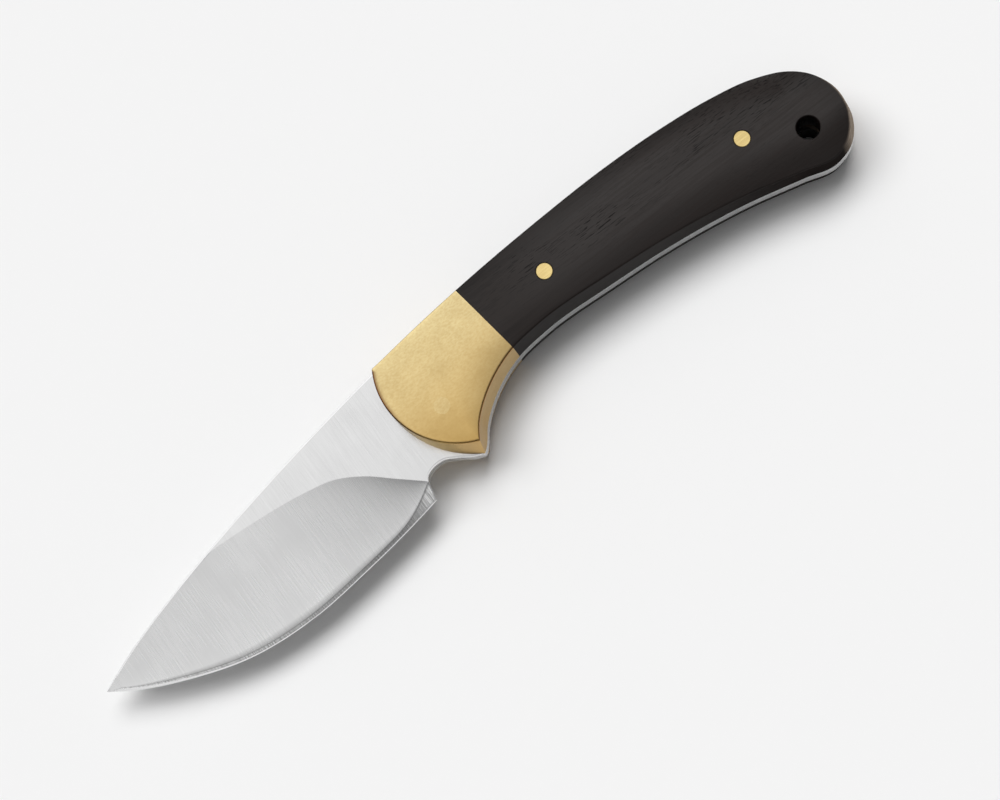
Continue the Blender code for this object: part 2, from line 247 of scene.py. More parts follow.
# The next tint paints a dark line, a painted shade, along the bevel's top and the choil.
SHOULDER_TINT = 0.55
STEEL_SPREAD = (-0.03, 0.05)  # of the roughness, to both sides
BRASS_SPREAD = (-0.04, 0.05)
WOOD_SPREAD = (0.05, -0.04)
GRIND_ROUGHER = 0.04
EDGE_ROUGHNESS = 0.26  # of the painted bright lines, a painted highlight, along the steel's edges
PIN_ROUGHNESS = (0.26, 0.36)
TORN = (1.25, 0.6)  # of the coarse marks, in their scratches and beside them
BRUSH_RELIEF = (0.3, 0.4)  # on the flat and on the grind
BRASS_CLOUDS = 0.35
BRASS_SPECKS = 0.30
PIN_SPECKS = 0.35
BRASS_POLISH = -0.12  # of the roughness along worn edges
WOOD_POLISH = -0.08
PORE_ROUGHER = 0.35
PORES_LOW = 0.2  # share of the pores on the lower half, off the patches and near the brass
PORES_OFF_PATCH = 0.25
PORES_NEAR_BRASS = 0.45
WORN_LEAST = 0.6
BARE_SIDE = (0.70, 0.96)  # how bare of oil the wood's sides are in front and behind
BARE_PORES = 0.8
BARE_NEAR_BRASS = 0.42
BARE_GRAIN = 0.26
GRAIN_RELIEF = 0.60
STEEL_BUMP = (0.25, 0.004 * MM)  # strength and height
BRASS_BUMP = (0.35, 0.006 * MM)
PIN_BUMP = (0.2, 0.004 * MM)
WOOD_BUMP = (0.5, 0.02 * MM)

# Studio
FLOOR_REACH = 3.0  # metres from the middle to each side
FLOOR_SHADE = 0.995
VIEW_CENTRE = (95.229, -0.828, 0.0)
# Brightness by the lean from straight above, in degrees, from the edge's side to the spine's side
STUDIO_TONES = [(-90.0, 0.30), (-65.0, 0.25), (-40.0, 0.20), (-22.0, 0.33), (-12.0, 0.41), (0.0, 0.62),
                (6.0, 0.93), (14.0, 1.03), (24.0, 1.12), (34.0, 1.0), (46.0, 0.75), (60.0, 0.4), (90.0, 0.2)]
POINT_FADE = (-0.72, -0.28)  # sideways parts of a direction between which the bright panel fades out
BUTT_FADE = (0.42, 0.16)
SIDE_BLEND = (0.4, 0.8)
POINT_SIDE_TONE = (0.12, 0.12, 0.12, 1.0)
BUTT_SIDE_TONE = (0.25, 0.25, 0.25, 1.0)


def clipped(values):
    """Values kept between nought and one."""
    return np.clip(values, 0.0, 1.0)


def smooth_curve(knots):
    """Curve through the knots: cubic pieces whose tangents weigh the two chords that meet at a knot."""
    p = np.asarray(knots, float)
    step = np.diff(p, axis=0)
    chord = np.linalg.norm(step, axis=1)[:, None]
    slope = step / chord
    inner = (slope[:-1] * chord[1:] + slope[1:] * chord[:-1]) / (chord[:-1] + chord[1:])
    tangent = np.vstack([2.0 * slope[:1] - inner[:1], inner, 2.0 * slope[-1:] - inner[-1:]])
    t = np.linspace(0.0, 1.0, CURVE_STEPS, endpoint=False)[None, :, None]
    leave = (chord * tangent[:-1])[:, None]
    arrive = (chord * tangent[1:])[:, None]
    pieces = (2 * t ** 3 - 3 * t ** 2 + 1) * p[:-1, None] + (t ** 3 - 2 * t ** 2 + t) * leave
    pieces = pieces + (3 * t ** 2 - 2 * t ** 3) * p[1:, None] + (t ** 3 - t ** 2) * arrive
    return np.vstack([pieces.reshape(-1, 2), p[-1:]])


def arc_between(start, end, radius, count):
    """Arc of a radius from start to end that bulges to the right of the way between them."""
    start = np.asarray(start)
    end = np.asarray(end)
    chord = end - start
    half = np.linalg.norm(chord) / 2.0
    left = np.array([-chord[1], chord[0]]) / (2.0 * half)
    centre = (start + end) / 2.0 + left * math.sqrt(radius ** 2 - half ** 2)
    first = math.atan2(start[1] - centre[1], start[0] - centre[0])
    turn = first + 2.0 * math.asin(half / radius) * np.linspace(0.0, 1.0, count)
    return centre + radius * np.stack([np.cos(turn), np.sin(turn)], axis=1)


STEEL_LOW, STEEL_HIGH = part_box("blade_and_tang")
OUTLINE = smooth_curve(CHOIL + BELLY + BUTT + HANDLE_SPINE + [FRONT_TOP] + BLADE_SPINE + [POINT])
OUTLINE[:, 0] *= (STEEL_HIGH.x - STEEL_LOW.x) / MM / OUTLINE[:, 0].max()
REARMOST = int(np.argmax(OUTLINE[:, 0]))
LOWER = OUTLINE[:REARMOST + 1]
UPPER = OUTLINE[:REARMOST - 1:-1]
BELLY_LINE = LOWER[len(CHOIL) * CURVE_STEPS:]
EDGE_LINE = smooth_curve(CUTTING_EDGE)
GRIND_CURVE = smooth_curve(GRIND_LINE)
HALF_STOCK = (STEEL_HIGH.z - STEEL_LOW.z) / 2.0 / MM
HALF_HANDLE = (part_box("left_scale")[1].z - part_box("right_scale")[0].z) / 2.0 / MM
TANG_MIDDLE = (STEEL_HIGH.z + STEEL_LOW.z) / 2.0
PLACE = np.array([STEEL_LOW.x, STEEL_HIGH.y - OUTLINE[:, 1].max() * MM, TANG_MIDDLE])

# What the settings of one kind have in common
COLOUR = {"subtype": "COLOR", "size": 4, "min": 0.0, "max": 1.0}
SHARE = {"subtype": "FACTOR", "min": 0.0, "max": 1.0}
WIDTH = {"unit": "LENGTH", "precision": 5}


class KnifeShape(bpy.types.PropertyGroup):
    """Small sizes of the finished edges."""
    handle_round: FloatProperty(
        name="Handle rounding", description="Radius along the handle's face edges",
        default=0.42 * MM, **WIDTH)
    steel_round: FloatProperty(
        name="Steel rounding", description="Width of the eased corners of spine and tang",
        default=0.34 * MM, **WIDTH)
    pin_groove: FloatProperty(
        name="Pin groove", description="Width of the fine groove round a pin in wood",
        default=0.10 * MM, **WIDTH)
    rim_flare: FloatProperty(
        name="Lanyard rim", description="Width of the eased rim of the lanyard hole",
        default=0.16 * MM, **WIDTH)


class KnifeFinish(bpy.types.PropertyGroup):
    """Colours and gloss of steel, brass and wood."""
    steel_colour: FloatVectorProperty(
        name="Steel", description="Colour of the satin steel",
        default=(0.78, 0.78, 0.78, 1.0), **COLOUR)
    # The steel's edges and apex are painted in the next colour, a painted highlight.
    edge_highlight_colour: FloatVectorProperty(
        name="Steel edges", description="Colour of the steel's bright edges",
        default=(0.97, 0.97, 0.97, 1.0), **COLOUR)
    # The next colour is painted shade on the bolsters' side walls and front walls.
    wall_shade_colour: FloatVectorProperty(
        name="Tarnish", description="Colour of the bolsters' tarnished sides",
        default=(0.20, 0.12, 0.04, 1.0), **COLOUR)
    # The next colour is a painted dark line, a painted shade, along the faces' edges.
    edge_shade_colour: FloatVectorProperty(
        name="Crease", description="Colour of the line along the faces' edges",
        default=(0.120, 0.020, 0.0, 1.0), **COLOUR)
    brass_colour: FloatVectorProperty(
        name="Brass", description="Colour of clean brass",
        default=(0.99, 0.82, 0.44, 1.0), **COLOUR)
    # The next colour is patina in the brass's specks and the pins, and painted shade low on the bolsters.
    patina_and_shade_colour: FloatVectorProperty(
        name="Patina", description="Colour of handled brass",
        default=(0.78, 0.51, 0.178, 1.0), **COLOUR)
    pin_colour: FloatVectorProperty(
        name="Pins", description="Colour of the pins' ends",
        default=(1.0, 0.79, 0.35, 1.0), **COLOUR)
    wood_colour: FloatVectorProperty(
        name="Wood", description="Colour of the dark wood",
        default=(0.0092, 0.0066, 0.0058, 1.0), **COLOUR)
    # The next colour is lighter grain, and a painted sheen along the middle of the faces.
    streak_and_sheen_colour: FloatVectorProperty(
        name="Wood streaks", description="Colour of lighter grain",
        default=(0.0185, 0.0142, 0.0128, 1.0), **COLOUR)
    pore_colour: FloatVectorProperty(
        name="Wood pores", description="Colour inside the pores",
        default=(0.003, 0.0025, 0.0025, 1.0), **COLOUR)
    worn_colour: FloatVectorProperty(
        name="Worn wood", description="Colour of wood worn at the butt",
        default=(0.42, 0.34, 0.27, 1.0), **COLOUR)
    steel_roughness: FloatProperty(
        name="Steel roughness", description="Roughness of the blade's flats",
        default=0.23, **SHARE)
    brass_roughness: FloatProperty(
        name="Brass roughness", description="Roughness of the bolsters",
        default=0.36, **SHARE)
    wood_roughness: FloatProperty(
        name="Wood roughness", description="Roughness of the oiled wood",
        default=0.37, **SHARE)


class KnifeStudio(bpy.types.PropertyGroup):
    """Camera, floor and light."""
    floor_colour: FloatVectorProperty(
        name="Floor", description="Colour of the pale floor",
        default=(0.90, 0.90, 0.90, 1.0), **COLOUR)
    key_strength: FloatProperty(
        name="Key lights", description="Strength of both soft lights together",
        default=2.33, min=0.0)
    key_balance: FloatProperty(
        name="Key balance", description="Share of the light on the butt's side",
        default=0.56, **SHARE)
    key_tilt: FloatProperty(
        name="Key tilt", description="Lean of the lights from straight above",
        default=math.radians(28.5), subtype="ANGLE")
    key_turn: FloatProperty(
        name="Key turn", description="Turn of the lights toward butt and point",
        default=math.radians(35.0), subtype="ANGLE")
    key_spread: FloatProperty(
        name="Key spread", description="Angular size of each light",
        default=math.radians(30.0), subtype="ANGLE")
    view_distance: FloatProperty(
        name="Camera distance", description="From the camera to the knife",
        default=0.480, unit="LENGTH")
    view_turn: FloatProperty(
        name="Picture turn", description="Angle of the knife's length in the picture",
        default=math.radians(37.1), subtype="ANGLE")
    view_tilt: FloatProperty(
        name="View tilt", description="Lean of the view toward the cutting edge",
        default=math.radians(12.0), subtype="ANGLE")
    lens: FloatProperty(
        name="Lens", description="Focal length in millimetres",
        default=88.87, subtype="DISTANCE_CAMERA")


def height_on(line, x):
    """Height of a line that runs along the knife, at distances from the point."""
    return np.interp(x, line[:, 0], line[:, 1])


def heel_flare(x):
    """Share of the way along the stretch in front of the heel where the bevel widens."""
    return clipped((x - HEEL_FLARE_START) / (HEEL[0] - HEEL_FLARE_START))


def bevel_width(x):
    """Width of the sharpened bevel: none at the point, even along the edge, and wide at the heel."""
    full = HALF_STOCK / EDGE_SLOPE
    even = EDGE_BEVEL * clipped(x / EDGE_BEVEL_START)
    return even + (full - EDGE_BEVEL) * heel_flare(x) ** HEEL_FLARE_POWER


def face_height(x, y):
    """Height of a handle face: flat along its middle, falling with the square of the way to its edges."""
    inside = np.minimum(x, BUTT_START)
    top = height_on(UPPER, inside)
    bottom = height_on(BELLY_LINE, inside)
    across = np.abs(2.0 * y - top - bottom) / (top - bottom)
    share = np.maximum((across - FLAT_SHARE) / (1.0 - FLAT_SHARE), 0.0)
    rearward = clipped((x - GUARD_CORNER[0]) / (BUTT_START - GUARD_CORNER[0]))
    fall = FRONT_FALL + (REAR_FALL - FRONT_FALL) * rearward ** FALL_POWER
    return HALF_HANDLE - fall * share ** 2


def new_object(name, data):
    """Object with its data, placed in the scene."""
    made = bpy.data.objects.new(name, data)
    bpy.context.scene.collection.objects.link(made)
    return made


def stacked(x, y, z):
    """Points from three arrays that can be broadcast together."""
    return np.stack(np.broadcast_arrays(x, y, z), axis=-1)


def clean_up(mesh):
    """Weld doubled points, take away faces without area and turn all faces outwards."""
    bm = bmesh.new()
    bm.from_mesh(mesh)
    bmesh.ops.remove_doubles(bm, verts=bm.verts, dist=WELD)
    bmesh.ops.dissolve_degenerate(bm, edges=bm.edges, dist=WELD)
    bmesh.ops.recalc_face_normals(bm, faces=bm.faces)
    bm.to_mesh(mesh)
    bm.free()


def make_piece(name, points, marks, keep_inside=True):
    """Mesh object over a grid of points whose second direction closes, with named marks on its vertices."""
    rows, columns = points.shape[:2]
    index = np.arange(rows * columns).reshape(rows, columns)
    index = np.hstack([index, index[:, :1]])
    quads = np.stack([index[:-1, :-1], index[:-1, 1:], index[1:, 1:], index[1:, :-1]], axis=-1)
    mesh = bpy.data.meshes.new(name)
    placed = points.reshape(-1, 3) * MM + PLACE
    if keep_inside:
        placed = np.clip(placed, CAD_BOX[0], CAD_BOX[1])
    mesh.from_pydata(placed, [], quads.reshape(-1, 4))
    for mark, values in marks.items():
        layer = mesh.attributes.new(mark, "FLOAT", "POINT")
        layer.data.foreach_set("value", np.broadcast_to(values, (rows, columns)).astype(np.float32).ravel())
    clean_up(mesh)
    return new_object(name, mesh)


def turned(name, place, profile, pale=0.0, keep_inside=True):
    """Closed solid of revolution about Z: radius times cosine and sine of the turn, round a place."""
    turn = np.linspace(0.0, 2.0 * math.pi, ROUND_SIDES, endpoint=False)
    radius = np.asarray(profile)[:, 0, None]
    z = np.asarray(profile)[:, 1, None]
    points = stacked(place[0] + radius * np.cos(turn), place[1] + radius * np.sin(turn), z)
    return make_piece(name, points, {"pale": pale}, keep_inside)


def drill(piece, cutters):
    """Cut bores into a piece, keep the result as its mesh and remove the cutters."""
    for cutter in cutters:
        cut = piece.modifiers.new(cutter.name, "BOOLEAN")
        cut.operation = "DIFFERENCE"
        cut.solver = "EXACT"
        cut.object = cutter
    graph = bpy.context.evaluated_depsgraph_get()
    drilled = bpy.data.meshes.new_from_object(piece.evaluated_get(graph))
    piece.modifiers.clear()
    clean_up(drilled)
    piece.data = drilled
    drilled.name = piece.name
    for cutter in cutters:
        bpy.data.objects.remove(cutter, do_unlink=True)


def finish_piece(piece, material, node):
    """Shade a piece, give it its material, and let it stand for its node in the frame."""
    piece.data.materials.clear()
    piece.data.materials.append(material)
    piece.data.shade_smooth()
    piece.data.set_sharp_from_angle(angle=SHARP_ANGLE)
    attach(piece, "root")
    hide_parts(node)


def corner_rows(upper, lower):
    """Mark of the rows that round the upper and the lower corner of a section."""
    mark = np.zeros(WALL_ROWS + CORNER_ROWS + 1 + FLAT_ROWS + HOLLOW_ROWS + CORNER_ROWS + WALL_ROWS)
    mark[WALL_ROWS:WALL_ROWS + CORNER_ROWS] = upper
    mark[-WALL_ROWS - CORNER_ROWS + 1:-WALL_ROWS] = lower
    return mark


def corner_section(end, inward, width, top):
    """Rows up the wall and round the eased corner of a section.

    Round the corner y moves inward by the width times 1 - cos of the turn, while z rises to the top by
    the corner's depth times the sine.
    """
    depth = CORNER_DEPTH * width
    y = end + inward * width * (1.0 - np.cos(CORNER_TURN))
    z = top - depth * (1.0 - np.sin(CORNER_TURN))
    return np.hstack([end + 0.0 * WALL_SHARES, y]), np.hstack([WALL_SHARES * (top - depth), z])


def blade_marks(y, edge_x, edge_y, grind_y, width, land, ahead):
    """Marks of the blade's finishes, painted shade lines and painted highlights, from how high each point
    lies beside grind line, bevel and land.
    """
    coarse = np.clip(1.0 - edge_x / COARSE_REACH, 0.0, COARSE_MOST)
    coarse = coarse + COARSE_HEEL * heel_flare(edge_x) ** COARSE_HEEL_POWER
    line = clipped(edge_x / SHOULDER_START) * ahead
    bevel = clipped((edge_y + width - y) / BEVEL_BLEND + 0.5) * ahead
    apex = clipped((edge_y + land - y) / BEVEL_BLEND + 0.5)
    return {"grind": clipped((grind_y - y) / GRIND_BLEND + 0.5) * ahead,
            "bevel": bevel,
            "apex": apex,
            "coarse": coarse * bevel * (1.0 - apex),
            "shoulder": line * clipped(1.0 - np.abs(y - edge_y - width) / SHOULDER_LINE),
            "edge": corner_rows(1.0, 0.0) + 0.0 * y}


def blade_half(corner):
    """Left half of the ground blade, one column from spine to edge at each share of its length.

    The half thickness grows with the share u of the grind's height above the bevel as shoulder +
    rest * ((1 - p) * u ^ a + p * u ^ b), where p grows from nothing to the plunge in front of the heel.
    The bevel falls evenly from its shoulder to the nearly flat land along the edge.
    """
    share = np.linspace(0.0, 1.0, BLADE_COLUMNS)[:, None]
    ahead = share < 1.0
    edge_x = share * HEEL[0]
    top_x = share * HEEL_TOP[0]
    edge_y = height_on(EDGE_LINE, edge_x)
    spine_y = height_on(UPPER, top_x)
    flat_above = top_x > GRIND_LINE[0][0]
    grind_y = np.where(flat_above, height_on(GRIND_CURVE, top_x), spine_y)
    width = np.minimum(bevel_width(edge_x), grind_y - edge_y)
    land = APEX_WIDTH + APEX_TIP_WIDTH * np.exp(-(edge_x / APEX_TIP_REACH) ** 2)
    land = np.minimum(land, LAND_MOST * width)
    sloped = width - np.maximum(land - APEX_WIDTH, 0.0)
    shoulder = np.where(ahead, sloped * EDGE_SLOPE, HALF_STOCK)
    first_height = GRIND_LINE[0][1] - height_on(EDGE_LINE, GRIND_LINE[0][0]) - EDGE_BEVEL
    full_height = np.where(flat_above, np.maximum(grind_y - edge_y - width, WELD), first_height)
    plunge = PLUNGE_MOST * clipped((edge_x - PLUNGE_START) / PLUNGE_REACH)

    def thick(rise):
        u = clipped(rise / full_height)
        bend = (1.0 - plunge) * u ** HOLLOW_POWER + plunge * u ** PLUNGE_POWER
        return shoulder + (HALF_STOCK - shoulder) * bend

    top = np.where(flat_above, HALF_STOCK, thick(spine_y - edge_y - width))
    eased = np.minimum(np.minimum(corner, top), BLADE_CORNER_MOST * (spine_y - edge_y))
    grind_y = np.minimum(grind_y, spine_y - eased)
    corner_y, corner_z = corner_section(spine_y, -1.0, eased, top)
    down = np.sin(np.linspace(0.0, QUARTER, FLAT_ROWS + 1))[1:]
    flat_y = spine_y - eased + down * (grind_y - spine_y + eased)
    flat_z = np.where(flat_above, HALF_STOCK, top + down * (thick(grind_y - edge_y - width) - top))
    rise = np.cos(np.linspace(0.0, QUARTER, HOLLOW_ROWS + 1))[1:] * (grind_y - edge_y - width)
    above_land = (width - land) * np.linspace(1.0, 0.0, BEVEL_ROWS + 1)[1:]
    on_land = land * np.linspace(1.0, 0.0, LAND_ROWS + 1)[1:]
    land_z = APEX_SLOPE * land
    slope = (shoulder - land_z) / np.maximum(width - land, WELD)
    y = np.hstack([corner_y, flat_y, edge_y + width + rise, edge_y + land + above_land, edge_y + on_land])
    z = np.hstack([corner_z, flat_z, thick(rise), land_z + slope * above_land, APEX_SLOPE * on_land])
    up = clipped((y - edge_y) / np.maximum(grind_y - edge_y, WELD))
    points = stacked(edge_x + (top_x - edge_x) * up, y, z)
    return points, blade_marks(y, edge_x, edge_y, grind_y, width, land, ahead)


def tang_half(corner):
    """Left half of the flat steel behind the heel, one column from spine to belly at each distance.

    Each column is the spine's eased corner, rows at the full half thickness that share the height
    between the corners, and the belly's eased corner. The columns crowd toward the butt's end as a sine.
    """
    choil = np.linspace(HEEL_TOP[0], GUARD_REAR[0], TANG_COLUMNS)[1:]
    body = np.linspace(GUARD_REAR[0], HANDLE_SPINE[0][0], TANG_COLUMNS)[1:]
    rearward = np.sin(np.linspace(0.0, QUARTER, TAIL_COLUMNS))[1:]
    tail = HANDLE_SPINE[0][0] + (OUTLINE[REARMOST, 0] - HANDLE_SPINE[0][0]) * rearward
    x = np.concatenate([choil, body, tail])[:, None]
    spine_y = height_on(UPPER, x)
    belly_y = height_on(LOWER, x)
    eased = np.minimum(corner, TANG_CORNER_MOST * (spine_y - belly_y))
    upper_y, upper_z = corner_section(spine_y, -1.0, eased, HALF_STOCK)
    lower_y, lower_z = corner_section(belly_y, 1.0, eased, HALF_STOCK)
    split = 1.0 - SPLIT_DROP * np.clip((x - HEEL_TOP[0]) / SPLIT_REACH, SPLIT_LEAST, 1.0)
    down = np.hstack([split * np.linspace(0.0, 1.0, FLAT_ROWS + 1)[1:],
                      split + (1.0 - split) * np.linspace(0.0, 1.0, HOLLOW_ROWS + 1)[1:]])
    flat_y = spine_y - eased - down * (spine_y - belly_y - 2.0 * eased)
    y = np.hstack([upper_y, flat_y, lower_y[:, -2::-1]])
    z = np.hstack([upper_z, np.full_like(flat_y, HALF_STOCK), lower_z[:, -2::-1]])
    return stacked(x, y, z)


def steel_surface(corner):
    """The whole steel as one closed tube of sections, with marks for its finishes.

    Each section is a column of the left half, followed by its mirror image in z from edge to spine.
    """
    blade, marks = blade_half(corner)
    tang = tang_half(corner)
    left = np.vstack([blade, tang])
    right = left[:, -2:0:-1] * np.array([1.0, 1.0, -1.0])
    rows = np.arange(tang.shape[1])
    at_choil = (tang[:, :1, 0] < GUARD_CORNER[0]) & (rows == len(rows) - WALL_ROWS - CORNER_ROWS - 1)
    # The choil's shoulder mark is a painted dark line, a painted shade.
    tang_marks = {"edge": corner_rows(1.0, 1.0), "coarse": corner_rows(0.0, RIM_COARSE),
                  "shoulder": CHOIL_LINE * at_choil}
    around = {}
    for name, values in marks.items():
        behind = np.broadcast_to(tang_marks.get(name, 0.0), tang.shape[:2])
        half = np.vstack([values, behind])
        around[name] = np.hstack([half, half[:, -2:0:-1]])
    return np.hstack([left, right]), around


def face_edge(back):
    """Edge of a handle face along belly, butt and spine.

    The outline moves inward by the lean times the wall's height, and near each corner the edge runs
    straight to the face's own corner.
    """
    along = np.gradient(back, axis=0)
    along = along / np.linalg.norm(along, axis=1)[:, None]
    inward = np.stack([-along[:, 1], along[:, 0]], axis=1)
    wall = face_height(back[:, 0], back[:, 1]) - HALF_STOCK
    edge = back + inward * (SIDE_LEAN * wall)[:, None]
    step = np.linalg.norm(np.diff(back, axis=0), axis=1)
    from_guard = np.concatenate([[0.0], np.cumsum(step)])
    for corner, away in ((FACE_GUARD_CORNER, from_guard), (FACE_TOP_CORNER, from_guard[-1] - from_guard)):
        start = edge[np.argmin(np.abs(away - CORNER_REACH))]
        share = clipped(away / CORNER_REACH)[:, None]
        edge = np.where(share < 1.0, corner + (start - corner) * share, edge)
    return edge


def handle_loop():
    """Outline, face edge and middle of a handle half, point by point round the handle from the guard."""
    guard = (len(CHOIL) - 1) * CURVE_STEPS
    top = (len(CHOIL) + len(BELLY) + len(BUTT) + len(HANDLE_SPINE)) * CURVE_STEPS
    back = OUTLINE[guard:top + 1]
    edge = face_edge(back)
    count = np.arange(len(back))
    rear = REARMOST - guard
    x = np.linspace(GUARD_REAR[0], BUTT_START, HANDLE_COLUMNS)
    belly = np.interp(x, back[:rear, 0], count[:rear])
    spine = np.interp(x, back[:rear:-1, 0], count[:rear:-1])[::-1]
    butt = np.linspace(belly[-1], spine[0], BUTT_COLUMNS + 2)[1:-1]
    front = np.linspace(spine[-1], count[-1], FRONT_COLUMNS + 1)[1:]
    corner = np.linspace(0.0, belly[0], GUARD_COLUMNS + 1)[:-1]
    before = np.concatenate([belly, butt, spine, front])

    def sample(curve, at):
        return np.stack([np.interp(at, count, curve[:, 0]), np.interp(at, count, curve[:, 1])], axis=1)

    arc = arc_between(FRONT_TOP, GUARD_CORNER, FRONT_RADIUS, ARC_COLUMNS)[1:-1]
    face_arc = arc_between(FACE_TOP_CORNER, FACE_GUARD_CORNER, FACE_FRONT_RADIUS, ARC_COLUMNS)[1:-1]
    outline = np.vstack([sample(back, before), arc, sample(back, corner)])
    face = np.vstack([sample(edge, before), face_arc, sample(edge, corner)])
    middle = np.stack([x, (height_on(UPPER, x) + height_on(BELLY_LINE, x)) / 2.0], axis=1)
    tail = len(outline) - 2 * len(x) - len(butt)
    centre = np.vstack([middle, np.repeat(middle[-1:], len(butt), axis=0), middle[::-1],
                        np.repeat(middle[:1], tail, axis=0)])
    return outline, face, centre


def handle_marks(points, edge, outline, centre, over):
    """Marks of a handle half's finishes and of its painted shade, sheen and highlight, by row, by place along
    the outline and by distance from the edge.
    """
    x, y = outline.T
    near = np.linalg.norm(points - edge, axis=2)
    leaving = np.linspace(1.0, 0.0, ROUND_ROWS)
    on_wall = np.concatenate([np.ones(WALL_ROWS + 2), leaving, np.zeros(CROWN_ROWS)])[:, None]
    on_front = (x < GUARD_CORNER[0]) & (y < FRONT_TOP[1])
    high_front = on_front * clipped((y - DARK_FRONT_LOW) / DARK_FRONT_RISE)
    low_front = on_front * clipped((GUARD_START - y) / GUARD_DROP)
    # Painted shade on the front walls, high up and at the guard.
    front_shade = np.maximum(high_front, GUARD_SHADE * low_front)
    # A painted dark line, a painted shade, runs along the face edge on the front and on the belly's side.
    edge_shaded = on_front | (y < centre[:, 1])
    strength = np.where(on_front, np.maximum(FRONT_EDGE_SHADE, high_front), EDGE_SHADE_SHARE)
    line = EDGE_SHADE_WIDTH * (1.0 + DARK_FRONT_WIDER * high_front)
    worn = clipped((x - WORN_START) / WORN_REACH) * clipped((WORN_TOP - y) / WORN_DROP)
    return {"edge": np.exp(-(near / EDGE_REACH) ** 2),
            "worn": worn * on_wall,
            # The walls are painted darker, a painted shade.
            "painted_wall_shade": np.where(on_front, front_shade, SIDE_WALL_SHADE) * on_wall,
            # Painted shade line along the face edge.
            "edge_shade_line": strength * edge_shaded * np.exp(-(near / line) ** 2),
            "side": on_wall,
            "middle": np.vstack([np.zeros((WALL_ROWS + ROUND_ROWS + 2, 1)), over]),
            # The middle of the front walls is painted lighter, a painted highlight.
            "front": on_front * (1.0 - high_front) * (1.0 - low_front) * on_wall}


def handle_surface(side, radius):
    """Bolster and scale of one side as one closed block, with marks for their finishes.

    Each column goes from the middle of the underside to the outline, up the leaning wall, round the
    edge on a quadratic curve between wall and face, and over the crowned face to the middle line.
    """
    outline, face, centre = handle_loop()
    foot = stacked(outline[:, 0], outline[:, 1], HALF_STOCK)
    edge = stacked(face[:, 0], face[:, 1], face_height(face[:, 0], face[:, 1]))
    inward = centre - face
    inward = inward / np.linalg.norm(inward, axis=1)[:, None]
    above = clipped((outline[:, 1] - centre[:, 1]) / SPINE_BLEND)
    radius = radius * (1.0 - SPINE_CRISP * above)
    start = face + inward * radius[:, None]
    start = stacked(start[:, 0], start[:, 1], face_height(start[:, 0], start[:, 1]))
    wall_end = edge + (foot - edge) * (radius / (edge[:, 2] - HALF_STOCK))[:, None]
    rise = np.linspace(0.0, 1.0, WALL_ROWS + 1)[:, None, None]
    wall = foot + (wall_end - foot) * rise
    t = np.linspace(0.0, 1.0, ROUND_ROWS + 1)[1:, None, None]
    turn = (1.0 - t) ** 2 * wall_end + 2.0 * t * (1.0 - t) * edge + t ** 2 * start
    over = np.linspace(0.0, 1.0, CROWN_ROWS + 1)[1:, None] ** CROWN_CROWDING
    crown_x = start[:, 0] + (centre[:, 0] - start[:, 0]) * over
    crown_y = start[:, 1] + (centre[:, 1] - start[:, 1]) * over
    crown = stacked(crown_x, crown_y, face_height(crown_x, crown_y))
    under = stacked(centre[:, 0], centre[:, 1], HALF_STOCK)[None]
    points = np.vstack([under, wall, turn, crown])
    return points * np.array([1.0, 1.0, side]), handle_marks(points, edge, outline, centre, over)


def keep_part(piece, in_front):
    """Cut a handle half square at the joint line and keep its bolster or its scale."""
    low = Vector((*JOINT_BOTTOM, 0.0)) * MM + Vector(PLACE)
    along = Vector((JOINT_TOP[0] - JOINT_BOTTOM[0], JOINT_TOP[1] - JOINT_BOTTOM[1], 0.0))
    rearward = Vector((along.y, -along.x, 0.0)).normalized()
    bm = bmesh.new()
    bm.from_mesh(piece.data)
    made = bmesh.ops.bisect_plane(bm, geom=bm.verts[:] + bm.edges[:] + bm.faces[:], plane_co=low,
                                  plane_no=rearward, clear_outer=in_front, clear_inner=not in_front)
    rim = [item for item in made["geom_cut"] if isinstance(item, bmesh.types.BMEdge)]
    bmesh.ops.edgeloop_fill(bm, edges=rim)
    bmesh.ops.recalc_face_normals(bm, faces=bm.faces)
    bm.to_mesh(piece.data)
    bm.free()


def bore(name, place, radius, flare=0.0):
    """Cutter for a round hole through the whole handle; a flare widens it by that width at both faces."""
    high = HALF_HANDLE + OVERCUT
    half = [(radius, high), (0.0, high)]
    if flare:
        half = [(radius, HALF_HANDLE - flare), (radius + flare + OVERCUT, high), (0.0, high)]
    profile = [(r, -z) for r, z in half[::-1]] + half
    return turned(name, place, profile, keep_inside=False)


def add_node(tree, kind, inputs=None, **settings):
    """New shader node with its settings; an input is a value, or a socket to link from."""
    node = tree.nodes.new(kind)
    for name, value in settings.items():
        setattr(node, name, value)
    for name, value in (inputs or {}).items():
        if isinstance(value, bpy.types.NodeSocket):
            tree.links.new(value, node.inputs[name])
        else:
            node.inputs[name].default_value = value
    return node


def mixed(tree, factor, first, second):
    """Colour between two colours."""
    return add_node(tree, "ShaderNodeMix", {0: factor, 6: first, 7: second}, data_type="RGBA").outputs[2]


def blended(tree, factor, first, second):
    """Value between two values."""
    return add_node(tree, "ShaderNodeMix", {0: factor, 2: first, 3: second}, data_type="FLOAT").outputs[0]


def ranged(tree, value, span, to_low=0.0, to_high=1.0):
    """Value moved from the ends of a span to two other values, and kept between them."""
    node = add_node(tree, "ShaderNodeMapRange", {"Value": value, "From Min": span[0], "From Max": span[1],
                                                 "To Min": to_low, "To Max": to_high})
    return node.outputs["Result"]


def combined(tree, operation, first, second):
    """Result of one step of arithmetic on two values."""
    return add_node(tree, "ShaderNodeMath", {0: first, 1: second}, operation=operation).outputs[0]


def product(tree, first, second):
    """One value times another."""
    return combined(tree, "MULTIPLY", first, second)


def total(tree, first, second):
    """One value and another together."""
    return combined(tree, "ADD", first, second)


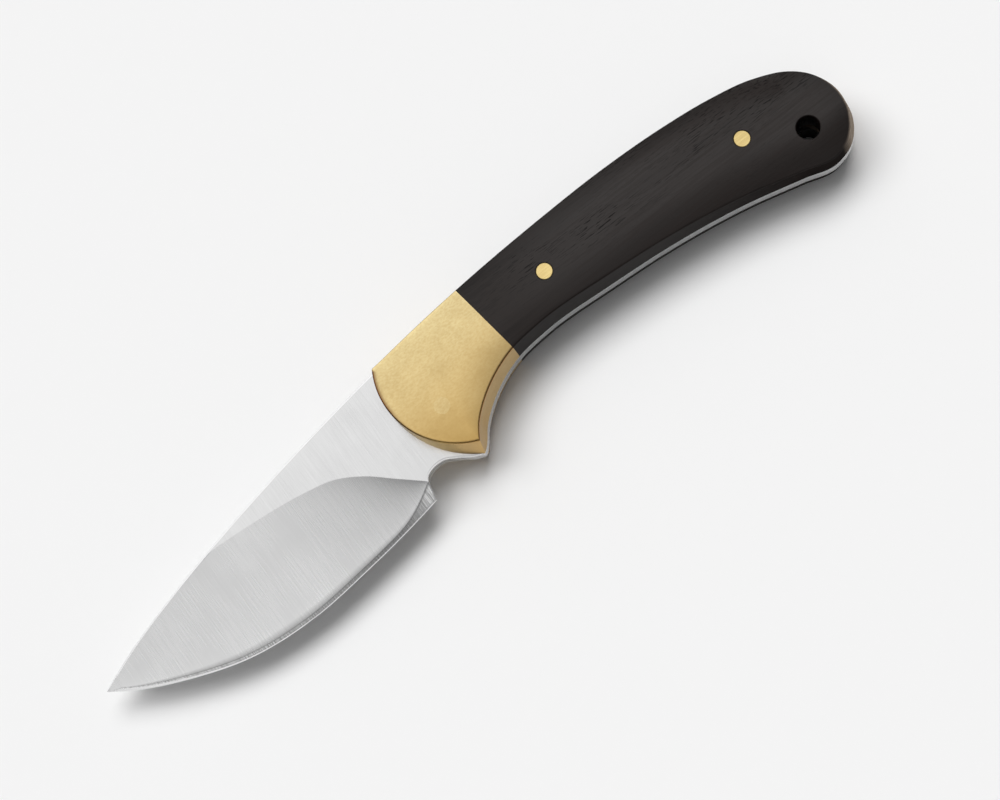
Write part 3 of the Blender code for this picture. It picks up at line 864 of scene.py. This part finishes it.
def largest(tree, first, second):
    """The larger of two values."""
    return combined(tree, "MAXIMUM", first, second)


def attribute(tree, name):
    """Mark that the mesh carries on its vertices."""
    return add_node(tree, "ShaderNodeAttribute", attribute_name=name).outputs["Fac"]


def new_group(name, inputs, outputs):
    """Empty shader node group with named sockets; returns it with its input and output nodes."""
    group = bpy.data.node_groups.new(name, "ShaderNodeTree")
    for socket, kind in inputs.items():
        group.interface.new_socket(name=socket, in_out="INPUT", socket_type=kind)
    for socket in outputs:
        group.interface.new_socket(name=socket, in_out="OUTPUT", socket_type="NodeSocketFloat")
    return group, group.nodes.new("NodeGroupInput"), group.nodes.new("NodeGroupOutput")


def drawn_noise_group():
    """Noise drawn out along one direction, for brushing lines, grain and pores."""
    sockets = {"Vector": "NodeSocketVector", "Stretch": "NodeSocketVector", "Detail": "NodeSocketFloat"}
    group, given, result = new_group("drawn_noise", sockets, ["Lines"])
    drawn = add_node(group, "ShaderNodeVectorMath", {0: given.outputs["Vector"], 1: given.outputs["Stretch"]},
                     operation="MULTIPLY")
    noise = add_node(group, "ShaderNodeTexNoise", {"Vector": drawn.outputs[0], "Scale": 1.0,
                                                   "Detail": given.outputs["Detail"]})
    group.links.new(noise.outputs["Fac"], result.inputs["Lines"])
    return group


def edge_wear_group():
    """Mask of a worn edge: the edge mark broken up by noise."""
    sockets = {"Vector": "NodeSocketVector", "Edge": "NodeSocketFloat", "Breakup": "NodeSocketFloat"}
    group, given, result = new_group("edge_wear", sockets, ["Mask"])
    noise = add_node(group, "ShaderNodeTexNoise", {"Vector": given.outputs["Vector"], "Detail": WEAR_DETAIL,
                                                   "Scale": given.outputs["Breakup"]})
    patchy = ranged(group, noise.outputs["Fac"], WEAR_PATCHES, WEAR_LEAST)
    group.links.new(product(group, given.outputs["Edge"], patchy), result.inputs["Mask"])
    return group


def drawn_noise(tree, vector, stretch, detail):
    """Place the drawn-out noise in a material."""
    group = bpy.data.node_groups.get("drawn_noise") or drawn_noise_group()
    node = add_node(tree, "ShaderNodeGroup", node_tree=group)
    tree.links.new(vector, node.inputs["Vector"])
    node.inputs["Stretch"].default_value = stretch
    node.inputs["Detail"].default_value = detail
    return node.outputs["Lines"]


def edge_wear(tree, vector, breakup):
    """Place the edge wear in a material."""
    group = bpy.data.node_groups.get("edge_wear") or edge_wear_group()
    node = add_node(tree, "ShaderNodeGroup", node_tree=group)
    tree.links.new(vector, node.inputs["Vector"])
    tree.links.new(attribute(tree, "edge"), node.inputs["Edge"])
    node.inputs["Breakup"].default_value = breakup
    return node.outputs["Mask"]


def new_material(name):
    """Material with its node tree, its Principled shader and object coordinates."""
    made = bpy.data.materials.new(name)
    made.use_nodes = True
    tree = made.node_tree
    where = add_node(tree, "ShaderNodeTexCoord").outputs["Object"]
    return made, tree, tree.nodes["Principled BSDF"], where


def feed(tree, value, shader, socket):
    """Link a value to a socket of a shader."""
    tree.links.new(value, shader.inputs[socket])


def add_bump(tree, shader, height, strength, distance):
    """Small relief on a shader."""
    bump = add_node(tree, "ShaderNodeBump", {"Height": height, "Strength": strength, "Distance": distance})
    feed(tree, bump.outputs["Normal"], shader, "Normal")


def scaled(colour, share):
    """Colour made darker or lighter."""
    return tuple(min(1.0, share * part) for part in colour[:3]) + (1.0,)


def about(middle, spread):
    """Two values to the sides of a middle one."""
    return middle + spread[0], middle + spread[1]


def steel_material(finish):
    """Satin steel: fine brushing across the blade, a painted highlight on the grind, painted shade on it
    toward the heel, painted shade lines along the bevel's top and the choil, a painted highlight along the
    edges, and cross scratches on the bevel.
    """
    made, tree, shader, where = new_material("satin_steel")
    grind = attribute(tree, "grind")
    bevel = attribute(tree, "bevel")
    fine = drawn_noise(tree, where, *STEEL_FINE)
    broad = drawn_noise(tree, where, *STEEL_BROAD)
    scratch = drawn_noise(tree, where, *STEEL_SCRATCH)
    mottle = drawn_noise(tree, where, *STEEL_MOTTLE)
    colour = finish.steel_colour
    along = add_node(tree, "ShaderNodeSeparateXYZ", {0: where}).outputs["X"]
    # Painted shade: the grind is painted darker toward the heel.
    heel_shade = product(tree, grind, ranged(tree, along, HEEL_SHADE_SPAN))
    tones = []
    # The grind is painted a little lighter than the flat, a painted highlight.
    for flat, ground, heel_shaded in zip(FLAT_TINTS, GRIND_TINTS, HEEL_SHADE_TINTS):
        tone = mixed(tree, grind, scaled(colour, flat), scaled(colour, ground))
        tones.append(mixed(tree, heel_shade, tone, scaled(colour, heel_shaded)))
    lines = total(tree, ranged(tree, fine, WIDE, 0.0, FINE_SHARE),
                  ranged(tree, broad, WIDE, 0.0, 1.0 - FINE_SHARE))
    satin = mixed(tree, lines, *tones)
    crossed = [scaled(colour, tint) for tint in CROSS_TINTS]
    cross = mixed(tree, ranged(tree, scratch, SCRATCHED), *crossed)
    surface = mixed(tree, bevel, satin, cross)
    # Painted shade: a dark line painted along the bevel's top and the choil.
    surface = mixed(tree, attribute(tree, "shoulder"), surface, scaled(colour, SHOULDER_TINT))
    # Painted highlight: the apex and the eased edges are painted bright, broken up by the edge wear.
    edge_highlight = largest(tree, attribute(tree, "apex"), edge_wear(tree, where, STEEL_WEAR))
    feed(tree, mixed(tree, edge_highlight, surface, finish.edge_highlight_colour), shader, "Base Color")
    spread = about(finish.steel_roughness, STEEL_SPREAD)
    rough = ranged(tree, total(tree, fine, mottle), WIDE_SUM, *spread)
    rough = total(tree, rough, ranged(tree, grind, UNIT, 0.0, GRIND_ROUGHER))
    feed(tree, blended(tree, edge_highlight, rough, EDGE_ROUGHNESS), shader, "Roughness")
    torn = product(tree, attribute(tree, "coarse"), ranged(tree, scratch, SCRATCHED, *TORN))
    feed(tree, ranged(tree, torn, UNIT, 1.0, 0.0), shader, "Metallic")
    brushed = product(tree, fine, ranged(tree, grind, UNIT, *BRUSH_RELIEF))
    add_bump(tree, shader, total(tree, brushed, product(tree, scratch, bevel)), *STEEL_BUMP)
    return made


def brass_material(finish):
    """Satin brass: fine grain, clouded patina and painted shade low on the bolsters, painted shade on their
    walls, a painted highlight on their front, and painted shade lines along the faces' edges.
    """
    made, tree, shader, where = new_material("satin_brass")
    grain = drawn_noise(tree, where, *BRASS_GRAIN)
    cloud = drawn_noise(tree, where, *BRASS_CLOUD)
    level = add_node(tree, "ShaderNodeSeparateXYZ", {0: where}).outputs["Y"]
    # Painted shade: the bolsters are painted darker toward the belly, mixed with clouds of patina.
    low = ranged(tree, level, LOW_BRASS_SHADE)
    shade_and_patina = ranged(tree, total(tree, low, product(tree, cloud, BRASS_CLOUDS)), CLOUDED)
    tone = mixed(tree, shade_and_patina, finish.brass_colour, finish.patina_and_shade_colour)
    # Painted highlight: the middle of the bolsters' front walls is painted lighter.
    tone = mixed(tree, attribute(tree, "front"), tone, scaled(finish.patina_and_shade_colour, FRONT_HIGHLIGHT))
    tone = mixed(tree, attribute(tree, "pale"), tone, finish.brass_colour)
    tone = mixed(tree, ranged(tree, grain, MIDDLE, 0.0, BRASS_SPECKS), tone, finish.patina_and_shade_colour)
    # Painted shade: the bolsters' walls are painted darker.
    tone = mixed(tree, attribute(tree, "painted_wall_shade"), tone, finish.wall_shade_colour)
    # Painted shade: a dark line painted along the faces' edges.
    tone = mixed(tree, attribute(tree, "edge_shade_line"), tone, finish.edge_shade_colour)
    feed(tree, tone, shader, "Base Color")
    rough = ranged(tree, total(tree, grain, cloud), WIDE_SUM, *about(finish.brass_roughness, BRASS_SPREAD))
    worn = product(tree, edge_wear(tree, where, BRASS_WEAR), BRASS_POLISH)
    feed(tree, total(tree, rough, worn), shader, "Roughness")
    shader.inputs["Metallic"].default_value = 1.0
    add_bump(tree, shader, grain, *BRASS_BUMP)
    return made


def pin_material(finish):
    """Pin ends of brass, sanded flush along the handle."""
    made, tree, shader, where = new_material("sanded_brass_pin")
    lines = drawn_noise(tree, where, *PIN_SANDING)
    specks = ranged(tree, lines, MIDDLE, 0.0, PIN_SPECKS)
    feed(tree, mixed(tree, specks, finish.pin_colour, finish.patina_and_shade_colour), shader, "Base Color")
    feed(tree, ranged(tree, lines, WIDE, *PIN_ROUGHNESS), shader, "Roughness")
    shader.inputs["Metallic"].default_value = 1.0
    add_bump(tree, shader, lines, *PIN_BUMP)
    return made


def wood_material(finish):
    """Oiled dark wood: long grain, short open pores along it, a painted sheen along the middle of the faces,
    drier sides and a worn patch on the butt.
    """
    made, tree, shader, where = new_material("oiled_dark_wood")
    grain = drawn_noise(tree, where, *WOOD_GRAIN)
    figure = drawn_noise(tree, where, *WOOD_FIGURE)
    pore = drawn_noise(tree, where, *WOOD_PORES)
    patch = drawn_noise(tree, where, *WOOD_PATCHES)
    axes = add_node(tree, "ShaderNodeSeparateXYZ", {0: where})
    near_brass = ranged(tree, axes.outputs["X"], NEAR_BRASS, 1.0, 0.0)
    open_pore = ranged(tree, pore, PORED)
    for share in (ranged(tree, axes.outputs["Y"], HIGH_WOOD, PORES_LOW, 1.0),
                  ranged(tree, patch, PATCHED, PORES_OFF_PATCH, 1.0),
                  ranged(tree, near_brass, UNIT, 1.0, PORES_NEAR_BRASS)):
        open_pore = product(tree, open_pore, share)
    streak = ranged(tree, total(tree, grain, figure), STREAKED)
    # Painted sheen: the wood is painted lighter along the middle of each face.
    streak_and_sheen = total(tree, streak, product(tree, attribute(tree, "middle"), MIDDLE_SHEEN))
    tone = mixed(tree, streak_and_sheen, finish.wood_colour, finish.streak_and_sheen_colour)
    tone = mixed(tree, open_pore, tone, finish.pore_colour)
    worn = product(tree, attribute(tree, "worn"), ranged(tree, grain, WIDE, WORN_LEAST, 1.0))
    feed(tree, mixed(tree, worn, tone, finish.worn_colour), shader, "Base Color")
    rough = ranged(tree, streak, UNIT, *about(finish.wood_roughness, WOOD_SPREAD))
    rough = total(tree, rough, product(tree, edge_wear(tree, where, WOOD_WEAR), WOOD_POLISH))
    rough = total(tree, rough, product(tree, open_pore, PORE_ROUGHER))
    feed(tree, rough, shader, "Roughness")
    bare = product(tree, attribute(tree, "side"), ranged(tree, axes.outputs["X"], DRY_SIDE, *BARE_SIDE))
    # On the wood, the face edge's painted shade line also takes away the coat there.
    for share in (product(tree, open_pore, BARE_PORES), product(tree, near_brass, BARE_NEAR_BRASS),
                  attribute(tree, "edge_shade_line"), ranged(tree, grain, GRAINED, 0.0, BARE_GRAIN)):
        bare = largest(tree, bare, share)
    feed(tree, ranged(tree, bare, UNIT, 1.0, 0.0), shader, "Coat Weight")
    shader.inputs["Coat Roughness"].default_value = finish.wood_roughness
    shader.inputs["Specular IOR Level"].default_value = 0.0
    relief = combined(tree, "SUBTRACT", product(tree, grain, GRAIN_RELIEF), open_pore)
    add_bump(tree, shader, relief, *WOOD_BUMP)
    return made


def shared_material(name, make):
    """Material that is built once and then used again."""
    return bpy.data.materials.get(name) or make(bpy.context.scene.knife_finish)


def add_floor(studio):
    """Plain matt floor under the knife."""
    corners = [(-1.0, -1.0), (1.0, -1.0), (1.0, 1.0), (-1.0, 1.0)]
    mesh = bpy.data.meshes.new("floor")
    level = CAD_BOX[0][2]
    mesh.from_pydata([(FLOOR_REACH * x, FLOOR_REACH * y, level) for x, y in corners], [], [(0, 1, 2, 3)])
    floor = new_object("floor", mesh)
    made, tree, shader, where = new_material("pale_floor")
    speckle = drawn_noise(tree, where, *FLOOR_SPECKLE)
    pale = studio.floor_colour
    feed(tree, mixed(tree, speckle, pale, scaled(pale, FLOOR_SHADE)), shader, "Base Color")
    shader.inputs["Roughness"].default_value = 1.0
    shader.inputs["Specular IOR Level"].default_value = 0.0
    mesh.materials.append(made)


def add_world():
    """Studio surroundings: a bright panel above the spine's side, dim toward the cutting edge."""
    world = bpy.data.worlds.new("studio")
    world.use_nodes = True
    tree = world.node_tree
    direction = add_node(tree, "ShaderNodeTexCoord").outputs["Generated"]
    axes = add_node(tree, "ShaderNodeSeparateXYZ", {0: direction})
    lean = combined(tree, "ARCTAN2", axes.outputs["Y"], axes.outputs["Z"])
    ramp = add_node(tree, "ShaderNodeValToRGB", {0: ranged(tree, lean, (-QUARTER, QUARTER))})
    stops = ramp.color_ramp.elements
    while len(stops) < len(STUDIO_TONES):
        stops.new(0.5)
    for stop, (angle, tone) in zip(stops, STUDIO_TONES):
        stop.position = angle / 180.0 + 0.5
        stop.color = (tone, tone, tone, 1.0)
    aside = axes.outputs["X"]
    panel = product(tree, ranged(tree, aside, POINT_FADE), ranged(tree, aside, BUTT_FADE))
    beside = mixed(tree, ranged(tree, aside, SIDE_BLEND), POINT_SIDE_TONE, BUTT_SIDE_TONE)
    lit = mixed(tree, panel, beside, ramp.outputs["Color"])
    feed(tree, lit, tree.nodes["Background"], "Color")
    bpy.context.scene.world = world


def add_keys(studio):
    """Two broad soft lights above the spine's side, turned toward butt and point, that give the shadow."""
    balance = studio.key_balance
    lean = math.sin(studio.key_tilt)
    for share, turn in ((balance, studio.key_turn), (1.0 - balance, -studio.key_turn)):
        lamp = bpy.data.lights.new("key", "SUN")
        lamp.energy = share * studio.key_strength
        lamp.angle = studio.key_spread
        key = new_object("key", lamp)
        toward = Vector((lean * math.sin(turn), lean * math.cos(turn), math.cos(studio.key_tilt)))
        key.rotation_euler = toward.to_track_quat("Z", "Y").to_euler()
        key.visible_glossy = False


def add_camera(studio):
    """Camera over the knife, turned and tilted to the photographed view."""
    turn = studio.view_turn
    back = Vector((0.0, -math.sin(studio.view_tilt), math.cos(studio.view_tilt)))
    rise = Vector((0.0, math.cos(studio.view_tilt), math.sin(studio.view_tilt)))
    right = Vector((math.cos(turn), 0.0, 0.0)) - math.sin(turn) * rise
    up = Vector((math.sin(turn), 0.0, 0.0)) + math.cos(turn) * rise
    data = bpy.data.cameras.new("camera")
    data.lens = studio.lens
    data.sensor_fit = "HORIZONTAL"
    camera = new_object("camera", data)
    camera.matrix_world = Matrix((right, up, back)).transposed().to_4x4()
    camera.location = Vector(VIEW_CENTRE) * MM + Vector(PLACE) + back * studio.view_distance
    bpy.context.scene.camera = camera


class KNIFE_OT_add_steel(bpy.types.Operator):
    """Blade and tang of one piece of steel, with its grind, choil and bores"""
    bl_idname = "knife.add_steel"
    bl_label = "Add blade and tang"

    def execute(self, context):
        points, marks = steel_surface(context.scene.knife_shape.steel_round / MM)
        piece = make_piece("knife_blade_and_tang", points, marks)
        places = list(BOLSTER_PINS.values()) + list(SCALE_PINS.values())
        cutters = [bore("tang_bore_%d" % i, place, PIN_RADIUS) for i, place in enumerate(places)]
        cutters.append(bore("tang_lanyard", LANYARD_PLACE, LANYARD_RADIUS + TANG_SET_BACK))
        drill(piece, cutters)
        finish_piece(piece, shared_material("satin_steel", steel_material), "blade_and_tang")
        return {"FINISHED"}


class KNIFE_OT_add_bolsters(bpy.types.Operator):
    """Brass bolsters on both sides of the tang"""
    bl_idname = "knife.add_bolsters"
    bl_label = "Add bolsters"

    def execute(self, context):
        radius = context.scene.knife_shape.handle_round / MM
        for node, side in (("left_bolster", 1.0), ("right_bolster", -1.0)):
            piece = make_piece("knife_" + node, *handle_surface(side, radius))
            keep_part(piece, True)
            drill(piece, [bore(pin + "_hole", place, PIN_RADIUS) for pin, place in BOLSTER_PINS.items()])
            finish_piece(piece, shared_material("satin_brass", brass_material), node)
        return {"FINISHED"}


class KNIFE_OT_add_scales(bpy.types.Operator):
    """Dark wood scales on both sides of the tang, with the lanyard hole"""
    bl_idname = "knife.add_scales"
    bl_label = "Add scales"

    def execute(self, context):
        shape = context.scene.knife_shape
        for node, side in (("left_scale", 1.0), ("right_scale", -1.0)):
            piece = make_piece("knife_" + node, *handle_surface(side, shape.handle_round / MM))
            keep_part(piece, False)
            cutters = [bore(pin + "_hole", place, PIN_RADIUS, shape.pin_groove / MM)
                       for pin, place in SCALE_PINS.items()]
            cutters.append(bore("lanyard_hole", LANYARD_PLACE, LANYARD_RADIUS, shape.rim_flare / MM))
            drill(piece, cutters)
            finish_piece(piece, shared_material("oiled_dark_wood", wood_material), node)
        return {"FINISHED"}


class KNIFE_OT_add_pins(bpy.types.Operator):
    """Flush brass pins through bolsters, scales and tang"""
    bl_idname = "knife.add_pins"
    bl_label = "Add pins"

    def execute(self, context):
        end = HALF_HANDLE - PIN_SINK
        groove = context.scene.knife_shape.pin_groove / MM
        brass = shared_material("satin_brass", brass_material)
        sanded = shared_material("sanded_brass_pin", pin_material)
        for pins, ease, material in ((BOLSTER_PINS, PIN_SINK, brass), (SCALE_PINS, groove, sanded)):
            for node, place in pins.items():
                half = [(PIN_RADIUS, 0.0), (PIN_RADIUS, end - ease), (PIN_RADIUS - ease, end), (0.0, end)]
                profile = [(r, -z) for r, z in half[:0:-1]] + half
                piece = turned("knife_" + node, place, profile, PIN_PALE.get(node, 0.0))
                finish_piece(piece, material, node)
        return {"FINISHED"}


class KNIFE_OT_add_stage(bpy.types.Operator):
    """Pale floor, soft studio light and the camera"""
    bl_idname = "knife.add_stage"
    bl_label = "Add stage"

    def execute(self, context):
        studio = context.scene.knife_studio
        add_floor(studio)
        add_world()
        add_keys(studio)
        add_camera(studio)
        context.scene.view_settings.view_transform = "Standard"
        return {"FINISHED"}


class KNIFE_PT_panel(bpy.types.Panel):
    """Sidebar panel with the knife's sizes, finishes and building steps"""
    bl_idname = "KNIFE_PT_panel"
    bl_label = "Skinning Knife"
    bl_space_type = "VIEW_3D"
    bl_region_type = "UI"
    bl_category = "Knife"

    def draw(self, context):
        for title, settings in (("Shape", context.scene.knife_shape), ("Finish", context.scene.knife_finish),
                                ("Studio", context.scene.knife_studio)):
            box = self.layout.box()
            box.label(text=title)
            for name in settings.__annotations__:
                box.prop(settings, name)
        for operator in OPERATORS:
            self.layout.operator(operator.bl_idname)


SETTINGS = {"knife_shape": KnifeShape, "knife_finish": KnifeFinish, "knife_studio": KnifeStudio}
OPERATORS = [KNIFE_OT_add_steel, KNIFE_OT_add_bolsters, KNIFE_OT_add_scales, KNIFE_OT_add_pins,
             KNIFE_OT_add_stage]
CLASSES = list(SETTINGS.values()) + OPERATORS + [KNIFE_PT_panel]


def register():
    """Make the settings, operators and panel known to Blender."""
    for made in CLASSES:
        bpy.utils.register_class(made)
    for name, group in SETTINGS.items():
        setattr(bpy.types.Scene, name, PointerProperty(type=group))


def unregister():
    """Take them away again."""
    for name in SETTINGS:
        delattr(bpy.types.Scene, name)
    for made in reversed(CLASSES):
        bpy.utils.unregister_class(made)


def main():
    """Register the settings, operators and panel, and build the knife and its stage."""
    register()
    bpy.ops.knife.add_steel()
    bpy.ops.knife.add_bolsters()
    bpy.ops.knife.add_scales()
    bpy.ops.knife.add_pins()
    bpy.ops.knife.add_stage()


if __name__ == "__main__":
    main()
